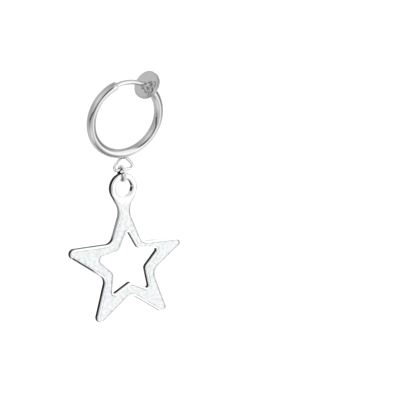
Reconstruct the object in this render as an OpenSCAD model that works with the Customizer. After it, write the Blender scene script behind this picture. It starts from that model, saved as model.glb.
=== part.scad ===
// A clip-on hoop earring with an open star charm, in millimetres, +Z up.
// A thin wire slides round inside a tube hoop against a spring, and an ear lobe is held
// between the pad on the wire and the pad on the tube. A loop under the hoop carries
// a jump ring, and the jump ring carries the charm by its eye.
// The origin is midway between the two pads. The hoop stands in the XZ plane, apart from
// a small lean, and the charm hangs plumb below it.

/* [Hoop] */
// Radius of the hoop, to the middle of the tube
hoop_r = 6.55; // [6.3:0.05:7.2]
// Outside diameter of the tube
tube_d = 1.6; // [1.5:0.05:1.8]
// Diameter of the wire that slides in the tube
wire_d = 0.86; // [0.8:0.02:0.9]
// Space all round the wire inside the tube
wire_play = 0.05; // [0.03:0.01:0.08]
// Angle round the hoop where the pads meet, from +X towards +Z
pad_deg = 53; // [50:1:55]
// Angle round the hoop where the wire comes out of the tube
mouth_deg = 107; // [100:1:110]
// How far round the wire reaches into the tube at rest
wire_hidden_deg = 64; // [55:1:70]
// How far the hoop leans out of plumb, its top to the front
lean_deg = 11; // [0:0.5:14]

/* [Pads] */
// Diameter of each pad
pad_d = 5; // [4.6:0.1:5.4]
// Thickness of each pad
pad_t = 0.34; // [0.32:0.01:0.4]
// How much further from the hoop's middle the pads' middles are than the wire's
pad_out = 0.25; // [0.1:0.05:0.35]
// Gap between the closed pads
pad_gap = 0.04; // [0.03:0.01:0.06]
// How far the pads are turned from square to the wire, facing the front
pad_skew_deg = 9; // [6:1:12]
// Height of the solder round the wire and the tube on their pads
solder_h = 0.45; // [0.3:0.05:0.5]
// How far the solder spreads past the wire and the tube
solder_spread = 0.42; // [0.3:0.02:0.5]

/* [Links] */
// Width of the loop under the hoop
loop_w = 4.04; // [3.84:0.04:4.2]
// Height of the loop
loop_h = 3; // [2.95:0.05:3.4]
// Radius of the bends at the loop's three corners, to the middle of its wire
loop_bend_r = 0.6; // [0.5:0.05:0.8]
// How deep the loop is soldered into the tube
loop_sunk = 0.4; // [0.35:0.05:0.45]
// Thickness of the loop's wire and of the jump ring's
link_wire_d = 0.55; // [0.5:0.01:0.56]
// Outside diameter of the jump ring
ring_d = 3.1; // [3.05:0.05:3.2]
// Angle that the jump ring's cut takes up
ring_cut_deg = 3; // [2:1:5]
// Gap where one link hangs on the next
link_gap = 0.04; // [0.03:0.01:0.05]

/* [Star charm] */
// Distance from the star's middle to its points, before they are rounded
star_tip_r = 13; // [12.8:0.05:13.2]
// Distance from the star's middle to the corners between its points
star_notch_r = 4.96; // [4.9:0.02:5.04]
// How much further left the star's left point is than a regular star's
left_tip_out = 0.85; // [0:0.05:1]
// How much higher the left point is
left_tip_up = 0.85; // [0:0.05:1]
// How much further left the corner between the neck and the left point is
left_notch_out = 0.3; // [0:0.05:0.4]
// How much higher that corner is
left_notch_up = 0.5; // [0:0.05:0.6]
// How much nearer the middle the right point is
right_tip_in = 0.25; // [0:0.05:0.3]
// How much lower the right point is
right_tip_down = 0.55; // [0:0.05:0.6]
// Distance from the star's middle to the points of its cut-out
hole_tip_r = 6.12; // [5.8:0.02:6.2]
// Distance from the star's middle to the corners of its cut-out
hole_notch_r = 3.12; // [2.9:0.01:3.15]
// How far the cut-out's middle is above the star's
hole_up = 0.4; // [0:0.05:0.5]
// Thickness of the charm
charm_t = 1.1; // [1:0.05:1.2]
// Width of the raised rims along its edges
rim_w = 0.36; // [0.3:0.02:0.42]
// Depth of the face between the rims
face_depth = 0.12; // [0.08:0.01:0.2]
// Half the width of the neck under the eye
neck_half_w = 0.86; // [0.75:0.01:0.9]
// Height of the neck above the star's middle
neck_z = 10.1; // [10:0.05:10.2]
// How far left of the star's middle the neck and the eye are
eye_left = 0.2; // [0:0.05:0.25]
// Height of the eye's middle above the star's middle
eye_z = 14.05; // [13.9:0.05:14.2]
// Outside diameter of the eye
eye_d = 5.2; // [5:0.02:5.24]
// Diameter of the hole in the eye
eye_hole_d = 3.12; // [3:0.02:3.2]
// Radius that rounds the edges of the eye's band
eye_round = 0.3; // [0.28:0.01:0.4]

/* [Hidden] */
$fn = 64;

// The bore runs from the mouth to a plug of solid metal behind the fixed pad.
bore_d = wire_d + 2 * wire_play;
mouth_over_deg = 2;
plug_deg = 7;
// How much wider the solder's top is than the wire or the tube in it
solder_lip = 0.04;
// Middle of the hoop, from the origin, in the hoop's own plane
hoop_x = -(hoop_r + pad_out) * cos(pad_deg);
hoop_z = -(hoop_r + pad_out) * sin(pad_deg);
// Half a pad's stack as an angle round the hoop, to the middle of one pad's thickness
pad_mid_deg = (pad_gap / 2 + pad_t / 2) / hoop_r * 180 / PI;

// The loop is a triangle of wire, bent at its corners, and its bottom is a straight pin for
// the jump ring. Its sides turn outwards from plumb by this angle, on their way down.
loop_half_w = (loop_w - link_wire_d) / 2 - loop_bend_r;
loop_rise = loop_h - link_wire_d - 2 * loop_bend_r;
loop_side_deg = atan2(loop_half_w, loop_rise);
pin_z = hoop_z - hoop_r - tube_d / 2 + loop_sunk - loop_h + link_wire_d / 2;

// Where the hanging pieces are once the hoop leans: the links are plumb below the pin, left
// of its middle, and the eye is plumb below them.
hang_x = hoop_x - eye_left;
hang_y = -pin_z * sin(lean_deg);
hang_z = pin_z * cos(lean_deg);
ring_r = (ring_d - link_wire_d) / 2;
ring_z = hang_z + link_wire_d + link_gap - ring_r;
// The eye's band rests in the round of the jump ring on its two lower edges.
eye_r = (eye_d + eye_hole_d) / 4;
eye_band_w = (eye_d - eye_hole_d) / 2;
ring_room = ring_r - link_wire_d / 2 - link_gap - eye_round;
band_low = sqrt(pow(ring_room, 2) - pow(charm_t / 2 - eye_round, 2)) + eye_round;
star_z = ring_z - band_low - eye_hole_d / 2 - eye_z;
// The jump ring's cut faces up and to the back.
ring_cut_at_deg = 40;

// Radii that round the corners of the star, of its cut-out and of the neck
tip_round = 0.9;
notch_round = 1.4;
hole_tip_round = 0.35;
hole_notch_round = 1.0;
neck_round = 3;
// The neck spreads until it meets the eye's band at this angle from straight down.
flare_deg = 70;
flare_over = 0.25;
foot_step_deg = 10;
// The sunk face stops below the neck.
face_top_z = 9.2;
corner_steps = 6;

function polar(r, a) = r * [cos(a), sin(a)];
function unit(v) = v / norm(v);

// The points of an arc of radius r that rounds corner b between its neighbours a and c
function round_corner(a, b, c, r) =
    let (
        u = unit(a - b),
        v = unit(c - b),
        half = acos(u * v) / 2,
        middle = b + unit(u + v) * r / sin(half),
        from = b + u * r / tan(half) - middle,
        to = b + v * r / tan(half) - middle,
        start = atan2(from[1], from[0]),
        turn = sign(from[0] * to[1] - from[1] * to[0]) * (180 - 2 * half)
    )
    [for (i = [0 : corner_steps]) middle + polar(r, start + turn * i / corner_steps)];

// Every corner of an outline rounded. A corner is [x, z, rounding radius].
function rounded(corners) =
    let (n = len(corners))
    [for (i = [0 : n - 1])
        let (
            a = corners[(i + n - 1) % n],
            b = corners[i],
            c = corners[(i + 1) % n]
        )
        each b[2] == 0
            ? [[b[0], b[1]]]
            : round_corner([a[0], a[1]], [b[0], b[1]], [c[0], c[1]], b[2])];

// Corner k of a five-pointed star, counted from the top point: even ones are points.
function star_corner(k, tip_r, notch_r, tip_rd, notch_rd) =
    let (
        is_tip = k % 2 == 0,
        p = polar(is_tip ? tip_r : notch_r, 90 + 36 * k)
    )
    [p[0], p[1], is_tip ? tip_rd : notch_rd];

function star_corners(tip_r, notch_r, tip_rd, notch_rd) =
    [for (k = [0 : 9]) star_corner(k, tip_r, notch_r, tip_rd, notch_rd)];

// Distance from the middle of a star to the lines along its edges
function edge_distance(tip_r, notch_r) =
    tip_r * notch_r * sin(36) / norm(polar(tip_r, 0) - polar(notch_r, 36));

// How far corner k of the outer star is from its place in a regular star: the real one isn't
// quite even. Corner 1 is between the neck and the left point, 2 the left point and 8 the right.
function corner_move(k) =
    k == 1 ? [-left_notch_out, left_notch_up]
    : k == 2 ? [-left_tip_out, left_tip_up]
    : k == 8 ? [-right_tip_in, -right_tip_down]
    : [0, 0];

// The outer star's corners from the given one on. The whole can be drawn smaller.
function outer_corners(first, grow = 1) =
    [for (k = [first : 9])
        let (
            even = star_corner(k, star_tip_r, star_notch_r, tip_round, notch_round),
            p = ([even[0], even[1]] + corner_move(k)) * grow
        )
        [p[0], p[1], even[2]]];

// The charm's outer outline: the star without its top point, the neck, and the foot
// of the eye, which ends along the middle of the eye's band.
function charm_corners() =
    let (
        eye = [-eye_left, eye_z],
        flare = polar(eye_r + flare_over, flare_deg - 90),
        foot = [for (a = [flare_deg : -foot_step_deg : -flare_deg])
            let (p = eye + polar(eye_r, a - 90))
            [p[0], p[1], 0]]
    )
    concat(
        outer_corners(1),
        [[neck_half_w - eye_left, neck_z, neck_round]],
        [[eye[0] + flare[0], eye[1] + flare[1], 0]],
        foot,
        [[eye[0] - flare[0], eye[1] + flare[1], 0]],
        [[-neck_half_w - eye_left, neck_z, neck_round]]
    );

// A round bar bent round the Y axis, between two angles counted from +X towards +Z
module bent_bar(bend_r, d, from_deg, to_deg) {
    rotate([90, 0, 0])
        rotate([0, 0, from_deg])
            rotate_extrude(angle = to_deg - from_deg)
                translate([bend_r, 0])
                    circle(d = d);
}

// A bar bent round the hoop's own middle
module hoop_bar(d, from_deg, to_deg) {
    translate([hoop_x, 0, hoop_z])
        bent_bar(hoop_r, d, from_deg, to_deg);
}

module leaning() {
    rotate([lean_deg, 0, 0])
        children();
}

// Turns +Z square to the pads: side 1 looks away from the tube's pad along the wire, and
// side -1 the other way, along the tube.
module from_pads(side) {
    rotate([0, -pad_deg, 0])
        rotate([pad_skew_deg, 0, 0])
            mirror([0, 0, side > 0 ? 0 : 1])
                children();
}

// One pad with its ring of solder round a bar of diameter bar_d. Here +X is away from the
// hoop's middle.
module pad(bar_d) {
    translate([0, 0, pad_gap / 2]) {
        cylinder(d = pad_d, h = pad_t);
        translate([-pad_out, 0, pad_t])
            cylinder(d1 = bar_d + 2 * solder_spread, d2 = bar_d + solder_lip, h = solder_h);
    }
}

module hanging_loop() {
    translate([hoop_x, 0, pin_z + loop_bend_r]) {
        translate([-loop_half_w, 0, -loop_bend_r])
            rotate([0, 90, 0])
                cylinder(d = link_wire_d, h = 2 * loop_half_w);
        translate([0, 0, loop_rise])
            bent_bar(loop_bend_r, link_wire_d, loop_side_deg, 180 - loop_side_deg);
        for (side = [0, 1])
            mirror([side, 0, 0])
                translate([loop_half_w, 0, 0]) {
                    bent_bar(loop_bend_r, link_wire_d, -90, loop_side_deg);
                    rotate([0, -loop_side_deg, 0])
                        translate([loop_bend_r, 0, 0])
                            cylinder(d = link_wire_d, h = norm([loop_half_w, loop_rise]));
                }
    }
}

module hoop_tube() {
    color("gainsboro")
        leaning()
            difference() {
                union() {
                    hoop_bar(tube_d, mouth_deg, 360 + pad_deg - pad_mid_deg);
                    from_pads(-1)
                        pad(tube_d);
                    hanging_loop();
                }
                hoop_bar(bore_d, mouth_deg - mouth_over_deg, 360 + pad_deg - plug_deg);
            }
}

module clip_wire() {
    color("silver")
        leaning() {
            hoop_bar(wire_d, pad_deg + pad_mid_deg, mouth_deg + wire_hidden_deg);
            from_pads(1)
                pad(wire_d);
        }
}

module jump_ring() {
    color("silver")
        translate([hang_x, hang_y, ring_z])
            rotate([0, 0, 90])
                bent_bar(ring_r, link_wire_d, ring_cut_at_deg + ring_cut_deg / 2,
                    360 + ring_cut_at_deg - ring_cut_deg / 2);
}

// The star that is cut out, with its edges moved outwards by the distance out
module cut_out(out = 0) {
    grow = 1 + out / edge_distance(hole_tip_r, hole_notch_r);
    translate([0, hole_up])
        polygon(rounded(star_corners(hole_tip_r * grow, hole_notch_r * grow,
            hole_tip_round, hole_notch_round)));
}

// The sunk face between the rims
module sunk_face() {
    difference() {
        polygon(rounded(outer_corners(0, 1 - rim_w / edge_distance(star_tip_r, star_notch_r))));
        cut_out(rim_w);
        translate([-star_tip_r, face_top_z])
            square([2 * star_tip_r, star_tip_r]);
    }
}

// The eye's band cut across: as thick as the charm, with its edges rounded
module eye_section() {
    flat = [eye_band_w / 2 - eye_round, charm_t / 2 - eye_round];
    square([2 * flat[0], charm_t], center = true);
    square([eye_band_w, 2 * flat[1]], center = true);
    for (x = [-flat[0], flat[0]], y = [-flat[1], flat[1]])
        translate([x, y])
            circle(r = eye_round);
}

module star_charm() {
    color("silver")
        translate([hoop_x, hang_y, star_z]) {
            rotate([90, 0, 0])
                difference() {
                    translate([0, 0, -charm_t / 2])
                        linear_extrude(charm_t)
                            difference() {
                                polygon(rounded(charm_corners()));
                                cut_out();
                            }
                    translate([0, 0, charm_t / 2 - face_depth])
                        linear_extrude(charm_t)
                            sunk_face();
                }
            translate([-eye_left, 0, eye_z])
                rotate([90, 0, 0])
                    rotate_extrude()
                        translate([eye_r, 0])
                            eye_section();
        }
}

hoop_tube();
clip_wire();
jump_ring();
star_charm();
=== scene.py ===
# %% [markdown]
# # A clip-on hoop earring with an open star charm
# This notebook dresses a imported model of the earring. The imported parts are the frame: they
# say where everything is and what turns about what. Each piece made here takes the place of
# one of them, or sits on one, and rides on the same body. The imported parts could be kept
# and only given a finish, but their edges are sharp, and it is the small soft edges that
# catch the light on metal.

import bmesh
import bpy
import numpy as np
from mathutils import Matrix, Vector, geometry


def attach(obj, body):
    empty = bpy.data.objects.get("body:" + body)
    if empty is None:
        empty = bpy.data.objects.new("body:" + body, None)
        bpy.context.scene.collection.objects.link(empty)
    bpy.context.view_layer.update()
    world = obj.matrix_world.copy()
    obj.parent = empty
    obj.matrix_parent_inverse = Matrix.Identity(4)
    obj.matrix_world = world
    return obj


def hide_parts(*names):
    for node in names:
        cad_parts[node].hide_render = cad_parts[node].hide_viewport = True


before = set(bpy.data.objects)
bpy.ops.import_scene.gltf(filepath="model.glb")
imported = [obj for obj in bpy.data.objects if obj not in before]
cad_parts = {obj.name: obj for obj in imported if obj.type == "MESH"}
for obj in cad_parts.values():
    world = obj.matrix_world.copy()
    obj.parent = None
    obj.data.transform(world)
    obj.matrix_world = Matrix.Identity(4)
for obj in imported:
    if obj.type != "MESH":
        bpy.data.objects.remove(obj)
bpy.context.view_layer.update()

# %% [markdown]
# ## The sizes
# Lengths are in millimetres here and become metres only when a mesh is made, because an
# earring is easier to think about that way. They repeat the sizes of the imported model.

# %% Sizes of the hoop and its pads
MM = 0.001
hoop_r = 6.55  # from the hoop's middle to the middle of the tube
tube_r = 0.8
bore_r = 0.48
wire_r = 0.43
pad_deg = 53  # where the pads meet, round the hoop from +X towards +Z
mouth_deg = 107  # where the wire comes out of the tube
wire_end_deg = 171  # where the wire ends inside the tube
plug_deg = 7  # the solid end of the tube, behind its pad
lean_deg = 11  # how far the hoop's top leans away from upright
pad_r = 2.5
pad_t = 0.34
pad_gap = 0.04
pad_skew_deg = 9  # how far the pads are out of square with the wire
pad_shift = 0.25  # how far the pads' middles lie outside the wire's
pad_mid_deg = np.degrees((pad_gap + pad_t) / 2 / hoop_r)
tube_end_deg = 360 + pad_deg - pad_mid_deg
bore_end_deg = 360 + pad_deg - plug_deg

hoop_x = -(hoop_r + pad_shift) * np.cos(np.radians(pad_deg))
hoop_z = -(hoop_r + pad_shift) * np.sin(np.radians(pad_deg))
print(f"the hoop is {2 * (hoop_r + tube_r):.1f} mm across")

# %% Sizes of the links and the charm
link_r = 0.275  # of the wire of the loop and the jump ring
link_gap = 0.04  # between links that hang on each other
loop_w, loop_h = 4.04, 3.0
loop_bend_r = 0.6
loop_sunk = 0.4  # how far the loop's top is sunk into the tube
pin_z = hoop_z - hoop_r - tube_r + loop_sunk - loop_h + link_r
hang_y = -pin_z * np.sin(np.radians(lean_deg))
hang_z = pin_z * np.cos(np.radians(lean_deg))
ring_r = 1.275
ring_z = hang_z + 2 * link_r + link_gap - ring_r
charm_t = 1.1
eye_z = 14.05
eye_left = 0.2
eye_out_r, eye_hole_r = 2.6, 1.56
eye_round = 0.3  # of the edges of the eye's hole
hang_x = hoop_x - eye_left
print(f"the pin is at {hang_z:.3f} and the ring's middle at {ring_z:.3f}")

# %% [markdown]
# The charm hangs as low as its eye lets it: both rounded edges of the eye's hole rest on
# the inside of the ring. The middle of each rounding is then a fixed way from the ring's
# middle, so its depth is one side of a right-angled triangle.

# %% Where the charm hangs
round_reach = ring_r - link_r - link_gap - eye_round
round_out = charm_t / 2 - eye_round
round_down = np.sqrt(round_reach**2 - round_out**2)
star_z = ring_z - round_down - eye_round - eye_hole_r - eye_z
print(f"the star's middle is at {star_z:.3f}")


# %% [markdown]
# ## Grids of points
# Nearly every part of an earring is wire, sheet or a casting, and each of these is a grid
# of points: one direction runs along the wire or round the disc, the other round its
# section. Box modelling or Blender's curve bevel would do too, but a grid worked out from a
# rule gives exact radii, and its two directions are at hand for brushed or drawn lines.


# %% Faces over a grid
def skin(points, start=None, end=None):
    """Faces over a grid of points of shape (rows, columns, 3) whose columns run round.

    Each face joins a point, its neighbour round, and the same two in the next row. A start
    or end point closes the grid with a fan of triangles.
    """
    rows, columns = points.shape[:2]
    i = np.arange(rows - 1)[:, None] * columns
    j = np.arange(columns)[None, :]
    after = (j + 1) % columns
    corners = [i + j, i + after, i + columns + after, i + columns + j]
    quads = np.stack(np.broadcast_arrays(*corners), -1).reshape(-1, 4)
    flat, faces = [points.reshape(-1, 3)], quads.tolist()
    for pole, row, step in ((start, 0, -1), (end, (rows - 1) * columns, 1)):
        if pole is not None:
            tip = np.full(columns, sum(len(f) for f in flat))
            pair = np.stack([row + j[0], row + after[0]], 1)[:, ::step]
            faces += np.column_stack([tip, pair]).tolist()
            flat.append(np.reshape(pole, (1, 3)))
    return np.concatenate(flat), faces


# %% A mesh piece
def make_piece(name, points, faces, body, finish, **marks):
    """A closed, smooth mesh from points in millimetres. marks are values kept for each point."""
    mesh = bpy.data.meshes.new(name)
    mesh.from_pydata((np.asarray(points) * MM).tolist(), [], faces)
    for key, values in marks.items():
        kind, slot = ("FLOAT_VECTOR", "vector") if np.ndim(values) == 2 else ("FLOAT", "value")
        mark = mesh.attributes.new(key, kind, "POINT")
        mark.data.foreach_set(slot, np.asarray(values, np.float32).ravel())
    shape = bmesh.new()
    shape.from_mesh(mesh)
    bmesh.ops.remove_doubles(shape, verts=shape.verts, dist=2e-8)
    bmesh.ops.recalc_face_normals(shape, faces=shape.faces)
    loose = sum(not e.is_manifold for e in shape.edges)
    volume = shape.calc_volume(signed=True) / MM**3
    shape.to_mesh(mesh)
    shape.free()
    mesh.polygons.foreach_set("use_smooth", [True] * len(mesh.polygons))
    piece = bpy.data.objects.new(name, mesh)
    bpy.context.scene.collection.objects.link(piece)
    mesh.materials.append(finish)
    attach(piece, body)
    print(f"{name}: {len(mesh.polygons)} faces, {volume:.2f} mm3, {loose} open edges")
    return piece


# %% [markdown]
# ## Bent bars
# The tube, the clip wire and the jump ring are all round bars bent to a circle. Each is
# drawn here as it is made: a straight bar whose radius may change along its length, bent
# round. Its place on the straight bar is kept with each point, because the drawing die
# leaves fine lines along the metal, and they follow the bend.


# %% Bend a bar
def bent_bar(bend_r, degrees, radius, columns=48):
    """A round bar bent to radius bend_r about the Y axis, and its place on the straight bar.

    At the angle a from +X towards +Z, out = (cos a, 0, sin a), and the bar's skin is
    bend_r * out + r * (cos u * out + sin u * Y) for u from 0 to a full turn. On the
    straight bar that point is (bend_r * a, r * cos u, r * sin u).
    """
    a = np.radians(degrees)[:, None]
    r = np.asarray(radius, float)[:, None]
    u = np.linspace(0, 2 * np.pi, columns, endpoint=False)[None, :]
    reach = bend_r + r * np.cos(u)
    points = np.stack([reach * np.cos(a), r * np.sin(u) + 0 * a, reach * np.sin(a)], -1)
    straight = np.stack([bend_r * a + 0 * u, r * np.cos(u), r * np.sin(u)], -1)
    return points, straight


def end_middles(grid):
    """The middles of the grid's first and last rows, which close it."""
    return grid[0].mean(0), grid[-1].mean(0)


def turn(degrees, axis):
    """The matrix that turns by this angle about an axis."""
    return np.array(Matrix.Rotation(np.radians(degrees), 3, axis))


def on_hoop(points):
    """Moves points from the hoop's own middle to its place, and leans them with the hoop."""
    return (points + [hoop_x, 0, hoop_z]) @ turn(lean_deg, "X").T


# %% A closed bar
def bar_piece(name, grid, straight, place, body, finish, worn):
    """A closed piece from a bar's grid. worn says how rubbed each row of points is."""
    first, last = end_middles(grid)
    points, faces = skin(place(grid), place(first), place(last))
    drawn = np.concatenate([straight.reshape(-1, 3), np.stack(end_middles(straight))])
    rubbed = np.concatenate([np.repeat(worn, grid.shape[1]), worn[[0, -1]]])
    return make_piece(name, points, faces, body, finish, drawn=drawn, worn=rubbed)


# %% [markdown]
# ## Finishes
# All of it is bright metal, so what the eye reads is reflection: the base colour is nearly
# white, and small changes of roughness and slope do the rest. Fine detail could be painted
# on a picture. Here it is worked out by nodes, so that it stays sharp however near one looks.


# %% Node helpers
def add(tree, kind, inputs, out=0, **settings):
    """Adds a node, sets its options and inputs, and gives back one of its outputs.

    The inputs are values or other nodes' outputs, by the socket's name or number.
    """
    node = tree.nodes.new("ShaderNode" + kind)
    for key, value in settings.items():
        setattr(node, key, value)
    for key, value in inputs.items():
        if isinstance(value, bpy.types.NodeSocket):
            tree.links.new(value, node.inputs[key])
        else:
            node.inputs[key].default_value = value
    return node.outputs[out]


def math(tree, kind, a, b=0.0):
    """One sum of two values."""
    return add(tree, "Math", {0: a, 1: b}, operation=kind)


def span(tree, value, low, high, at_low, at_high):
    """Runs smoothly from at_low to at_high while value goes from low to high, and stops there."""
    ends = {0: value, 1: low, 2: high, 3: at_low, 4: at_high}
    return add(tree, "MapRange", ends, interpolation_type="SMOOTHSTEP")


def noise(tree, at, scale, detail=3.0):
    """Cloudy noise from 0 to 1, round about 0.5. scale is clouds for each unit of length."""
    return add(tree, "TexNoise", {"Vector": at, "Scale": scale, "Detail": detail})


def mixed(tree, share, a, b):
    """The colour a, with this share of the colour b."""
    return add(tree, "Mix", {0: share, 6: a, 7: b}, 2, data_type="RGBA")


# %% A metal
def new_metal(name):
    """A metal with nothing set yet: its tree, its shader, and places in millimetres."""
    metal = bpy.data.materials.new(name)
    metal.use_nodes = True
    tree = metal.node_tree
    shader = tree.nodes["Principled BSDF"]
    shader.inputs["Metallic"].default_value = 1
    place = add(tree, "TexCoord", {}, "Object")
    return metal, tree, shader, add(tree, "VectorMath", {0: place, 3: 1000.0}, operation="SCALE")


def mark(tree, name, out=2):
    """A value that was kept for each point of the mesh."""
    return add(tree, "Attribute", {}, out, attribute_name=name)


def finish_with(tree, shader, colour, roughness, height, depth, bloom=None):
    """Joins up the shader. depth is how deep the relief is, in millimetres.

    bloom is how much of the surface is frosted white, and scatters light as paper does.
    """
    if bloom is not None:
        tree.links.new(math(tree, "SUBTRACT", 1.0, bloom), shader.inputs["Metallic"])
    bump = add(tree, "Bump", {"Height": height, "Distance": depth * MM, "Strength": 1.0})
    tree.links.new(colour, shader.inputs["Base Color"])
    tree.links.new(roughness, shader.inputs["Roughness"])
    tree.links.new(bump, shader.inputs["Normal"])


# %% [markdown]
# ### Drawn steel
# Drawing pulls tube and wire through a die, which leaves lines that are long one way and
# very close together the other. They are noise on the place on the straight bar, squeezed
# along its length. Handling adds smudges, and rubs the free edges brighter and finer. The
# loop and the jump ring are plated after they are made. Plating on such thin wire is a
# little frosted. Inside the jump ring, on the side that faces its middle, black patches are painted shade.


# %% Drawn steel
def drawn_steel(name, low, high, smooth, lines, bloom=0.0, inner_shade=0.0):
    """Drawn metal between two colours. smooth is its roughness, lines how many a millimetre.

    bloom is its frosted white share. The last argument is how dark the painted shade is,
    in patches on the side of a ring that faces its middle.
    """
    metal, tree, shader, place = new_metal(name)
    squeezed = {0: mark(tree, "drawn", "Vector"), 1: (0.12, lines, lines)}
    line = noise(tree, add(tree, "VectorMath", squeezed, operation="MULTIPLY"), 1.0)
    smudge = noise(tree, place, 0.55, 4.0)
    rubbing = span(tree, noise(tree, place, 3.0), 0.3, 0.6, 0.4, 1.0)
    worn = math(tree, "MULTIPLY", mark(tree, "worn"), rubbing)
    colour = mixed(tree, span(tree, smudge, 0.35, 0.65, 0.0, 1.0), low, high)
    colour = mixed(tree, worn, colour, (0.90, 0.90, 0.90, 1))
    matt = span(tree, smudge, 0.4, 0.7, smooth, smooth * 1.7)
    matt = math(tree, "ADD", matt, math(tree, "MULTIPLY", line, 0.05))
    matt = math(tree, "SUBTRACT", matt, math(tree, "MULTIPLY", worn, 0.04))
    across = add(tree, "SeparateXYZ", {0: mark(tree, "drawn", "Vector")}, 1)
    inner = span(tree, across, -0.12, 0.12, 1.0, 0.0)
    # painted shade: black patches on the side of a ring that faces its middle
    black = math(tree, "MULTIPLY", inner, span(tree, noise(tree, place, 1.1, 2.0), 0.44, 0.48, 0.0, inner_shade))
    colour = mixed(tree, black, colour, (0.012, 0.012, 0.012, 1))
    frost = math(tree, "MULTIPLY", span(tree, black, 0.0, 1.0, 1.0, 0.0), bloom)
    finish_with(tree, shader, colour, matt, line, 0.0012, frost)
    print(f"{name}: {len(tree.nodes)} nodes")
    return metal


polished_steel = drawn_steel("polished_steel", (0.82, 0.82, 0.83, 1), (0.86, 0.86, 0.87, 1), 0.05, 9)
bright_wire = drawn_steel("bright_wire", (0.83, 0.83, 0.84, 1), (0.88, 0.88, 0.88, 1), 0.06, 16)
plated_wire = drawn_steel("plated_wire", (0.93, 0.93, 0.93, 1), (0.98, 0.98, 0.98, 1), 0.08, 16, 0.16)
# the jump ring's wire carries painted shade in black patches on its inner side
ring_wire_shaded = drawn_steel("ring_wire_shaded", (0.93, 0.93, 0.93, 1), (0.98, 0.98, 0.98, 1), 0.08, 16, 0.28, 1.0)

# %% [markdown]
# ## The tube hoop
# Stainless tube, bent to more than three quarters of a circle. Its mouth is rolled over a
# little, so that the wire can't be pulled out and the ear isn't scratched. A Solidify
# modifier could give it its wall, but not the rolled lip. So the outside, the lip and the
# bore are one surface: the bar's radius goes along the outside, over the lip and back.

# %% Tube
lip_r = (tube_r - bore_r) / 2
lip_turn = np.linspace(0, np.pi, 11)
lip_long = 1.2 * lip_r  # the lip is a little longer than round
lip_deg = mouth_deg + np.degrees(lip_long * (1 - np.sin(lip_turn)) / hoop_r)
lip_radius = bore_r + lip_r + lip_r * np.cos(lip_turn)
lip_in = 0.02
rolled_deg, rolled_in = 7, 0.045
outside_deg = np.linspace(tube_end_deg, lip_deg[0] + 0.2, 240)
rolled = np.clip(1 - (outside_deg - mouth_deg) / rolled_deg, 0, 1)
outside_radius = tube_r - rolled_in * rolled**2
bore_deg = np.linspace(lip_deg[-1] + 0.5, bore_end_deg, 120)
tube_deg = np.concatenate([outside_deg, lip_deg, bore_deg])
tube_radius = np.concatenate([outside_radius, lip_radius - lip_in, np.full(len(bore_deg), bore_r)])
tube_grid, tube_straight = bent_bar(hoop_r, tube_deg, tube_radius, 64)
tube_worn = np.concatenate([rolled**3, np.ones(len(lip_deg)), np.zeros(len(bore_deg))])
hoop_tube = bar_piece("tube_hoop", tube_grid, tube_straight, on_hoop, "hoop", polished_steel, tube_worn)
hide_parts("hoop_tube")

# %% [markdown]
# ## The clip wire
# Spring wire, thin enough to slide in the tube, with a rounded end inside it. A curve with
# a bevel would do for it, but then nothing would tell the finish where the wire slides and
# is rubbed. In a bent bar each row of points has its place along the wire, and the rubbing
# is given for each row.

# %% Wire
tip_turn = np.linspace(0, np.pi / 2, 7)[1:]
shaft_deg = np.linspace(pad_deg + pad_mid_deg, wire_end_deg - 4, 180)
tip_deg = wire_end_deg - np.degrees(wire_r / hoop_r) * (1 - np.sin(tip_turn))
tip_radius = wire_r * np.maximum(np.cos(tip_turn), 0.02)
wire_deg = np.concatenate([shaft_deg, tip_deg])
wire_radius = np.concatenate([np.full(len(shaft_deg), wire_r), tip_radius])
wire_grid, wire_straight = bent_bar(hoop_r, wire_deg, wire_radius, 48)
rubbed_deg = 25
wire_worn = np.clip((wire_deg - mouth_deg + rubbed_deg) / rubbed_deg, 0, 1) * 0.6
clip_wire = bar_piece("clip_wire_bar", wire_grid, wire_straight, on_hoop, "slider", bright_wire, wire_worn)
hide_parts("clip_wire")

# %% [markdown]
# ## The pads
# Two discs, stamped from sheet, that face each other across the lobe. A cylinder with a
# bevel would look like one, but its faces would have no points for a finish to follow. So a
# disc is its section carried round an axis: from the middle of one face out to the edge,
# round the edge's soft corners and back to the middle of the other face. Tumbling after the
# stamping leaves them satin, with faint rings from the punch, and rubs their edges.

# %% Satin sheet
satin_sheet, tree, shader, place = new_metal("satin_sheet")
punched = noise(tree, add(tree, "CombineXYZ", {0: mark(tree, "out")}), 7.0)
grain = noise(tree, place, 9.0, 5.0)
cloud = noise(tree, place, 0.8)
worn = math(tree, "MULTIPLY", mark(tree, "worn"), span(tree, grain, 0.35, 0.55, 0.3, 1.0))
cloudy = span(tree, cloud, 0.3, 0.7, 0.0, 1.0)
colour = mixed(tree, cloudy, (0.93, 0.93, 0.94, 1), (0.98, 0.98, 0.98, 1))
colour = mixed(tree, worn, colour, (0.76, 0.76, 0.77, 1))
matt = span(tree, grain, 0.3, 0.7, 0.27, 0.34)
height = math(tree, "ADD", punched, math(tree, "MULTIPLY", grain, 0.5))
finish_with(tree, shader, colour, matt, height, 0.002)
print(f"satin_sheet: {len(tree.nodes)} nodes")


# %% A section carried round
def carried_round(out, up, columns=128):
    """A section carried round +Z: the point (out, up) at the angle u is (out cos u, out sin u, up)."""
    u = np.linspace(0, 2 * np.pi, columns, endpoint=False)[None, :]
    out, up = np.asarray(out, float)[:, None], np.asarray(up, float)[:, None]
    return np.stack([out * np.cos(u), out * np.sin(u), up + 0 * u], -1)


def from_pads(side):
    """Turns +Z square to the pads: side 1 looks along the wire, and -1 along the tube."""
    square = turn(lean_deg, "X") @ turn(-pad_deg, "Y") @ turn(pad_skew_deg, "X")
    return lambda points: points @ (square @ np.diag([1, 1, side])).T


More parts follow.
